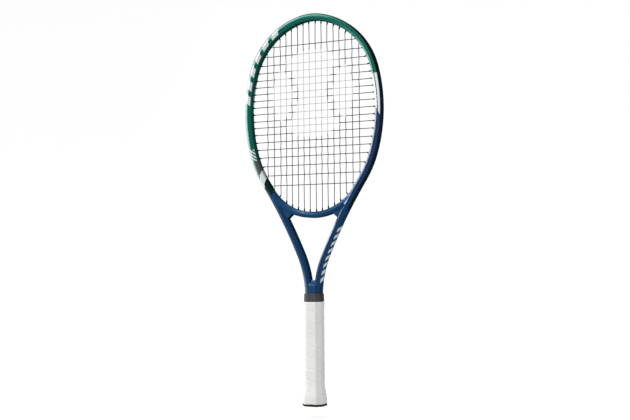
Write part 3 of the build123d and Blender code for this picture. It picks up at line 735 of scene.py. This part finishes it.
def grip_finish(handle):
    """Soft polyurethane wrap with fine ribs across the ribbon, pores darkened with painted shade, and slight
    handling marks.
    """
    f = Finish("grip_polyurethane")
    turn, climb = f.attribute("along"), f.attribute("out")
    ribs = f.math("SINE", f.math("MULTIPLY", turn, 2 * math.pi / 0.0022))
    across = f.math("SUBTRACT", f.math("MODULO", climb, 0.0040), 0.0020)
    lengthways = f.math("SUBTRACT", f.math("MODULO", turn, 0.0040), 0.0020)
    hole = f.math("SQRT", f.math("ADD", f.math("MULTIPLY", across, across),
                                f.math("MULTIPLY", lengthways, lengthways)))
    pores = f.math("SUBTRACT", 1.0, f.above(hole, 0.00038, 0.0002))
    leather = f.noise(1800.0, 3.0)
    height = f.math("ADD", f.math("MULTIPLY", ribs, 0.30), f.math("MULTIPLY", leather, 0.5))
    height = f.math("SUBTRACT", height, f.math("MULTIPLY", pores, 1.4))
    f.relief(height, 0.00016, 0.9)
    marks = f.above(f.noise(38.0, 4.0), 0.58, 0.25)
    tinted = f.mix(f.math("MULTIPLY", marks, 0.5), handle.grip_colour, (0.66, 0.66, 0.63))
    # Painted shade: the pores are darkened as shadow inside the perforations
    tinted = f.mix(f.math("MULTIPLY", pores, 0.55), tinted, (0.30, 0.30, 0.29))
    return f.set(Base_Color=tinted, Roughness=f.spread(leather, 0.50, 0.68), Specular_IOR_Level=0.35,
                 Sheen_Weight=0.12, Sheen_Roughness=0.5)


def tape_finish(handle):
    """Glossy stretched vinyl."""
    f = Finish("tape_vinyl")
    pull = f.noise(120.0, 2.0)
    f.relief(pull, 0.00006, 0.4)
    return f.set(Base_Color=f.mix(pull, handle.tape_colour, (0.80, 0.80, 0.79)),
                 Roughness=f.spread(pull, 0.28, 0.42), Specular_IOR_Level=0.5)


def rubber_finish(handle):
    """Matt rubber with a dusty bloom."""
    f = Finish("collar_rubber")
    bloom = f.noise(90.0, 4.0)
    grain = f.noise(2400.0, 2.0)
    f.relief(grain, 0.00004, 0.6)
    return f.set(Base_Color=f.mix(bloom, handle.rubber, (0.070, 0.070, 0.068)),
                 Roughness=f.spread(bloom, 0.58, 0.72), Specular_IOR_Level=0.35)


def foam_finish():
    """Rigid polyurethane foam with fine cells."""
    f = Finish("pallet_foam")
    cells = f.noise(1400.0, 4.0)
    f.relief(cells, 0.00015, 0.8)
    return f.set(Base_Color=f.mix(cells, (0.42, 0.33, 0.19), (0.56, 0.46, 0.30)), Roughness=0.9)


def steel_finish():
    """Bright drawn wire."""
    f = Finish("steel_wire")
    drawn = f.noise(900.0, 3.0)
    f.relief(drawn, 0.00001, 0.5)
    return f.set(Base_Color=f.mix(drawn, (0.50, 0.50, 0.51), (0.62, 0.62, 0.63)), Metallic=1.0,
                 Roughness=f.spread(drawn, 0.25, 0.42))


def dress(material, slot, *nodes):
    """Gives CAD nodes a finish as their only material; the slot argument is not used."""
    for name in nodes:
        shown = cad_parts[name]
        shown.data.materials.clear()
        shown.data.materials.append(material)


# Handle pieces


def octagon_corners(grow):
    """Corners of the handle's octagon, grown on every side."""
    x, y = OCTAGON_HALF[0] + grow, OCTAGON_HALF[1] + grow
    flat_x = OCTAGON_FLAT[0] * x / OCTAGON_HALF[0]
    flat_y = OCTAGON_FLAT[1] * y / OCTAGON_HALF[1]
    return [(x, -flat_y), (x, flat_y), (flat_x, y), (-flat_x, y),
            (-x, flat_y), (-x, -flat_y), (-flat_x, -y), (flat_x, -y)]


def smooth(share):
    """Smooth step from 0 to 1."""
    share = min(1.0, max(0.0, share))
    return share * share * (3 - 2 * share)


def flare_at(z):
    """How much wider than the plain handle the butt is at a height."""
    return FLARE_GROWTH * smooth((CAP_TOP - z) / (CAP_TOP - FLARE_LOW))


def wrap_height(phase, depth):
    """Height of the ribbon over its mean: a groove at each seam and a slight slope between."""
    near = min(phase, 1 - phase)
    groove = 1 - smooth(near / 0.075)
    return -depth * groove + 0.00030 * (phase - 0.5)


def wrapped_grip(handle):
    """The grip: one ribbon wound up the octagon and over the flared butt."""
    count, rows = 144, 330
    builder = Builder()
    outer, inner = [], []
    low, high = GRIP_LOW.z, GRIP_HIGH.z
    for row in range(rows + 1):
        z = low + (high - low) * row / rows
        grow = flare_at(z)
        points, normals = even_outline(octagon_corners(grow + GRIP_THICK), 0.0048, count)
        end = smooth(min(z - low, high - z) / 0.0016)
        loop, climbs = [], []
        perimeter = sum((points[i] - points[i - 1]).length for i in range(count))
        for i, (point, normal) in enumerate(zip(points, normals)):
            phase = (z / handle.wrap_pitch + i / count) % 1.0
            lift = wrap_height(phase, handle.seam_depth) - 0.0009 * (1 - end)
            spot = point + normal * lift
            loop.append((spot.x, spot.y, z))
            climbs.append(z)
        first = len(builder.points)
        outer.append(builder.ring(loop, 0.0, climbs))
        for i in range(count):
            builder.along[first + i] = abs(perimeter * (i / count - 0.5))
    for row in range(41):
        z = low + (high - low) * row / 40
        points, _ = even_outline(octagon_corners(flare_at(z) + 0.0002), 0.0025, count)
        inner.append(builder.ring([(p.x, p.y, z) for p in points], 0.0, [z] * count))
    builder.skin(outer + list(reversed(inner)), closed=True)
    grip = builder.piece("wrapped_grip", "racket", grip_finish(handle), 60.0)
    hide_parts("base_grip")
    return grip


def tape_band(handle):
    """The finishing tape: two overlapped turns, the last one ending on the back."""
    count = 144
    builder = Builder()
    low, high = TAPE_LOW.z, TAPE_HIGH.z
    thick = 0.00042
    profile = [(0.00, 0.0), (0.10, 0.8), (0.22, 1.0), (0.50, 1.0), (0.55, 0.82), (0.62, 0.82), (0.85, 0.9),
               (0.95, 0.7), (1.00, 0.0)]
    outer = []
    for share, height in profile:
        z = low + (high - low) * share
        points, normals = even_outline(octagon_corners(GRIP_THICK), 0.0033, count)
        loop = []
        for i, (point, normal) in enumerate(zip(points, normals)):
            ending = 0.00010 if 0.28 < i / count < 0.62 else 0.0
            spot = point + normal * (height * thick + ending * height - 0.0002 * (height == 0))
            loop.append((spot.x, spot.y, z))
        outer.append(builder.ring(loop))
    inner = []
    for z in (high, low):
        points, _ = even_outline(octagon_corners(GRIP_THICK - 0.0007), 0.0030, count)
        inner.append(builder.ring([(p.x, p.y, z) for p in points]))
    builder.skin(outer + inner, closed=True)
    tape = builder.piece("tape_band", "racket", tape_finish(handle), 50.0)
    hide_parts("finishing_tape")
    return tape


def ribbed_collar(handle):
    """The rubber collar: wider at its foot, with a rolled lip and three shallow ribs."""
    leg = tube_stations()[-1][0]
    x = leg + TUBE_HALF_WIDTH + COLLAR_GAP
    y = TUBE_HALF_DEPTH + 0.0004
    flat = OUTER_EDGE_DEPTH + 0.0004
    bore = [(x, -flat), (x, flat), (leg, y), (-leg, y), (-x, flat), (-x, -flat), (-leg, -y), (leg, -y)]
    count, rows = 128, 56
    low, high = COLLAR_LOW.z, COLLAR_HIGH.z
    points, normals = even_outline(bore, 0.0012, count)
    builder = Builder()
    outer = []
    for row in range(rows + 1):
        share = row / rows
        thick = 0.0015 - 0.0006 * share
        rib = 0.0
        for centre in (0.30, 0.52, 0.74):
            rib += 0.00024 * math.exp(-((share - centre) / 0.045) ** 2)
        lip = 0.0007 * (1 - smooth(share / 0.07)) + 0.0005 * (1 - smooth((1 - share) / 0.06))
        loop = []
        for point, normal in zip(points, normals):
            spot = point + normal * (thick - rib - lip)
            loop.append((spot.x, spot.y, low + (high - low) * share))
        outer.append(builder.ring(loop))
    inner = [builder.ring([(p.x, p.y, z) for p in points]) for z in (high, low)]
    builder.skin(outer + inner, closed=True)
    collar = builder.piece("ribbed_collar", "collar", rubber_finish(handle), 50.0)
    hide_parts("grip_collar")
    return collar


# Operators


class RACKET_OT_stage(bpy.types.Operator):
    """Floor, backdrop, lights and camera"""

    bl_idname = "racket.stage"
    bl_label = "Stage"

    def execute(self, context):
        stage = context.scene.racket_stage
        make_sweep()
        make_room(context.scene, stage.ambient)
        middle = Vector((0, 0, CAD_HIGH.z / 2))
        above_middle = middle + Vector((0, 0, 0.05))
        area_light("key_soft", (-1.55, -1.05, 1.15), above_middle, (0.75, 1.3), stage.key_power)
        area_light("side_soft", (-2.0, 0.4, 0.8), middle, (3.2, 1.8), stage.side_power)
        card = area_light("gloss_card", (-2.05, 0.4, 0.8), middle, (3.2, 1.8), stage.card_power)
        card.visible_diffuse = False
        head = Vector((0, 0, CAD_HIGH.z))
        card = area_light("top_card", (-0.85, -0.9, 2.2), head, (1.2, 1.0), stage.card_power * 0.2)
        card.visible_diffuse = False
        area_light("front_fill", (0.5, -2.2, 0.9), middle, (1.2, 1.2), stage.fill_power, False)
        area_light("top_soft", (-0.2, 0.3, 1.8), middle, (0.9, 0.5), stage.fill_power * 0.8)
        make_camera(context.scene, stage)
        return {"FINISHED"}


def make_sweep():
    """Round paper floor that curves up into a wall all the way round."""
    profile = [(0.5, FLOOR_Z), (SWEEP_FLAT, FLOOR_Z)]
    for step in range(1, 17):
        angle = math.pi / 2 * step / 16
        profile.append((SWEEP_FLAT + math.sin(angle), FLOOR_Z + 1 - math.cos(angle)))
    profile.append((SWEEP_FLAT + 1, SWEEP_HEIGHT))
    count = 96
    points, faces = [], []
    for radius, z in profile:
        for i in range(count):
            angle = 2 * math.pi * i / count
            points.append((radius * math.cos(angle), radius * math.sin(angle), z))
    for row in range(len(profile) - 1):
        for i in range(count):
            j = (i + 1) % count
            faces.append((row * count + i, (row + 1) * count + i, (row + 1) * count + j, row * count + j))
    faces.append(tuple(range(count)))
    mesh = bpy.data.meshes.new("paper_sweep")
    mesh.from_pydata(points, [], faces)
    mesh.shade_smooth()
    mesh.materials.append(paper_finish())
    sweep = bpy.data.objects.new("paper_sweep", mesh)
    bpy.context.scene.collection.objects.link(sweep)
    sweep.visible_diffuse = False
    sweep.visible_glossy = False
    sweep.visible_shadow = False


def paper_finish():
    """Bright paper that keeps only a trace of shadow."""
    f = Finish("studio_paper")
    grain = f.noise(60.0, 2.0)
    return f.set(Base_Color=f.mix(grain, (0.29, 0.29, 0.29), (0.31, 0.31, 0.31)), Roughness=1.0,
                 Specular_IOR_Level=0.0, Emission_Color=(1.0, 1.0, 1.0),
                 Emission_Strength=0.75)


def make_room(scene, ambient):
    """Even pale light from all round."""
    world = bpy.data.worlds.new("studio_room")
    world.use_nodes = True
    background = world.node_tree.nodes["Background"]
    background.inputs["Color"].default_value = (1.0, 1.0, 1.0, 1.0)
    background.inputs["Strength"].default_value = ambient
    world.cycles_visibility.glossy = False
    scene.world = world


def area_light(name, place, target, size, power, glossy=True):
    """A soft rectangular light aimed at a point, mirrored in gloss or not."""
    data = bpy.data.lights.new(name, "AREA")
    data.shape = "RECTANGLE"
    data.size, data.size_y = size
    data.energy = power
    light = bpy.data.objects.new(name, data)
    light.location = place
    light.visible_glossy = glossy
    light.rotation_euler = (Vector(target) - Vector(place)).to_track_quat("-Z", "Y").to_euler()
    bpy.context.scene.collection.objects.link(light)
    return light


def make_camera(scene, stage):
    """Camera to the right of the racket, slightly above the handle."""
    data = bpy.data.cameras.new("view")
    data.lens = stage.lens
    data.clip_start, data.clip_end = 0.05, 30.0
    camera = bpy.data.objects.new("view", data)
    camera.location = stage.camera_place
    turn, tilt, roll = stage.camera_turn
    camera.rotation_euler = (math.pi / 2 + tilt, roll, turn)
    scene.collection.objects.link(camera)
    scene.camera = camera
    scene.view_settings.view_transform = "Standard"


class RACKET_OT_moulded_frame(bpy.types.Operator):
    """Painted tube, bridge, throat webs and saddle"""

    bl_idname = "racket.moulded_frame"
    bl_label = "Moulded frame"

    def execute(self, context):
        builder = Builder()
        add_tube(builder)
        add_bridge(builder, 0.415)
        add_webs(builder, 0.415)
        add_gussets(builder, 0.415)
        add_saddle(builder, 0.560)
        add_tails(builder)
        paint = frame_paint(context.scene.racket_paint)
        moulded = builder.piece("moulded_frame", "racket", paint, 22.0)
        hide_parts("frame_tube", "throat_bridge")
        return {"FINISHED"}


class RACKET_OT_strings(bpy.types.Operator):
    """Main and cross strings with their stencil"""

    bl_idname = "racket.strings"
    bl_label = "Strings"

    def execute(self, context):
        finish = string_finish(context.scene.racket_strings)
        dress(finish, "string", "main_string", "cross_string")
        return {"FINISHED"}


class RACKET_OT_guard_and_grommets(bpy.types.Operator):
    """Bumper guard and grommet strips"""

    bl_idname = "racket.guard_and_grommets"
    bl_label = "Guard and grommets"

    def execute(self, context):
        black = nylon("guard_nylon", (0.010, 0.010, 0.011), (0.030, 0.030, 0.032), 0.36, 0.46)
        dress(black, "black_nylon", "bumper_guard", "right_grommet_strip", "left_grommet_strip",
              "throat_grommet_strip")
        return {"FINISHED"}


class RACKET_OT_handle_core(bpy.types.Operator):
    """Foam pallets, staples and tack inside the handle"""

    bl_idname = "racket.handle_core"
    bl_label = "Handle core"

    def execute(self, context):
        dress(foam_finish(), "foam_pallet", "front_handle_pallet", "back_handle_pallet")
        dress(steel_finish(), "steel_wire", "butt_cap_staples", "grip_tack")
        return {"FINISHED"}


class RACKET_OT_butt_cap(bpy.types.Operator):
    """Butt cap and its door"""

    bl_idname = "racket.butt_cap"
    bl_label = "Butt cap"

    def execute(self, context):
        black = nylon("cap_nylon", (0.012, 0.012, 0.013), (0.035, 0.035, 0.036), 0.32, 0.44)
        dress(black, "black_cap", "butt_cap", "butt_cap_door")
        return {"FINISHED"}


class RACKET_OT_wrapped_grip(bpy.types.Operator):
    """Wound grip and its finishing tape"""

    bl_idname = "racket.wrapped_grip"
    bl_label = "Wrapped grip"

    def execute(self, context):
        wrapped_grip(context.scene.racket_handle)
        tape_band(context.scene.racket_handle)
        return {"FINISHED"}


class RACKET_OT_collar(bpy.types.Operator):
    """Ribbed rubber collar"""

    bl_idname = "racket.collar"
    bl_label = "Collar"

    def execute(self, context):
        ribbed_collar(context.scene.racket_handle)
        return {"FINISHED"}


STEPS = [
    RACKET_OT_stage,
    RACKET_OT_moulded_frame,
    RACKET_OT_strings,
    RACKET_OT_guard_and_grommets,
    RACKET_OT_handle_core,
    RACKET_OT_butt_cap,
    RACKET_OT_wrapped_grip,
    RACKET_OT_collar,
]
SETTINGS = {
    "racket_paint": RacketPaint,
    "racket_strings": RacketStrings,
    "racket_handle": RacketHandle,
    "racket_stage": RacketStage,
}


class RACKET_PT_looks(bpy.types.Panel):
    """Lists the racket's pieces and their settings"""

    bl_idname = "RACKET_PT_looks"
    bl_label = "Tennis Racket"
    bl_space_type = "VIEW_3D"
    bl_region_type = "UI"
    bl_category = "Racket"

    def draw(self, context):
        for step in STEPS:
            self.layout.operator(step.bl_idname)
        for name, group in SETTINGS.items():
            column = self.layout.column()
            for label in group.__annotations__:
                column.prop(getattr(context.scene, name), label)


def register():
    for group in SETTINGS.values():
        bpy.utils.register_class(group)
    for step in STEPS + [RACKET_PT_looks]:
        bpy.utils.register_class(step)
    for name, group in SETTINGS.items():
        setattr(bpy.types.Scene, name, bpy.props.PointerProperty(type=group))


def unregister():
    for name in SETTINGS:
        delattr(bpy.types.Scene, name)
    for step in reversed(STEPS + [RACKET_PT_looks]):
        bpy.utils.unregister_class(step)
    for group in reversed(list(SETTINGS.values())):
        bpy.utils.unregister_class(group)


def main():
    """Makes every piece in order."""
    register()
    for step in STEPS:
        group, name = step.bl_idname.split(".")
        getattr(getattr(bpy.ops, group), name)()


if __name__ == "__main__":
    main()
